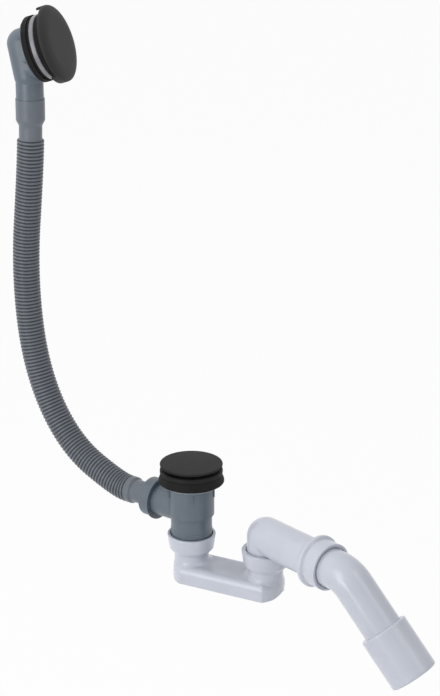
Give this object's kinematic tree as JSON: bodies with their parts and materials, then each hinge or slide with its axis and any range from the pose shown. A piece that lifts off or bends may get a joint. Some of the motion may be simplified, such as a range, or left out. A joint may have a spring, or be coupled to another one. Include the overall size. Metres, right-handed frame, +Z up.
{
  "type": "bath waste and overflow",
  "caption": "Push-plug bath waste with a covered overflow, a corrugated overflow hose, a flat trap under the waste, a turning elbow and an angled outlet pipe.",
  "frame": {"origin": "on the waste axis, at the underside of the waste flange where the bath floor is clamped", "axes": "+Z up along the waste axis, +X from the waste towards the trap's outlet, the overflow on the -X side"},
  "size_m": [0.5291, 0.1562, 0.6249],
  "materials": {
    "black_coat": "matt black coating",
    "black_plastic": "matt black",
    "rubber": "plain moulded rubber",
    "grey_plastic": "satin moulded",
    "hose_plastic": "satin blown",
    "white_plastic": "satin moulded",
    "pale_insert": "satin",
    "brass": "turned",
    "steel": "drawn",
    "cartridge_plastic": "plain moulded",
    "stem_brass": "turned"
  },
  "bodies": {
    "waste": {"waste_flange": "black_coat", "waste_gasket": "rubber", "waste_body": "grey_plastic", "body_insert": "brass", "clamp_bolt": "brass", "plug_cartridge": "cartridge_plastic", "plug_spring": "steel", "inlet_seal": "rubber", "inlet_nut": "grey_plastic", "overflow_hose": "hose_plastic", "overflow_body": "grey_plastic", "overflow_gasket": "rubber", "overflow_insert": "pale_insert", "overflow_screw": "steel", "overflow_cover": "black_plastic"},
    "plug": {"plug_cap": "black_coat", "plug_seal": "rubber", "plug_stem": "stem_brass"},
    "trap": {"trap_body": "white_plastic", "trap_inlet_seal": "rubber", "trap_outlet_seal": "rubber"},
    "elbow": {"outlet_elbow": "white_plastic", "elbow_seal": "rubber"},
    "bend": {"outlet_bend": "white_plastic"}
  },
  "joints": [
    {"name": "plug_press", "type": "slide", "parent": "waste", "child": "plug", "axis": [0, 0, 1], "range_m": [0, 0.009], "deforming": ["plug_spring"]},
    {"name": "trap_swivel", "type": "hinge", "parent": "waste", "child": "trap", "pos_m": [0, 0, -0.075], "axis": [0, 0, 1], "range_deg": [-45, 45]},
    {"name": "outlet_swivel", "type": "hinge", "parent": "trap", "child": "elbow", "pos_m": [0.0872, 0, -0.075], "axis": [0, 0, 1], "range_deg": [-60, 60]},
    {"name": "bend_swivel", "type": "hinge", "parent": "elbow", "child": "bend", "pos_m": [0.0872, 0, -0.0536], "axis": [0.9304, -0.3665, 0], "range_deg": [-90, 90]}
  ]
}
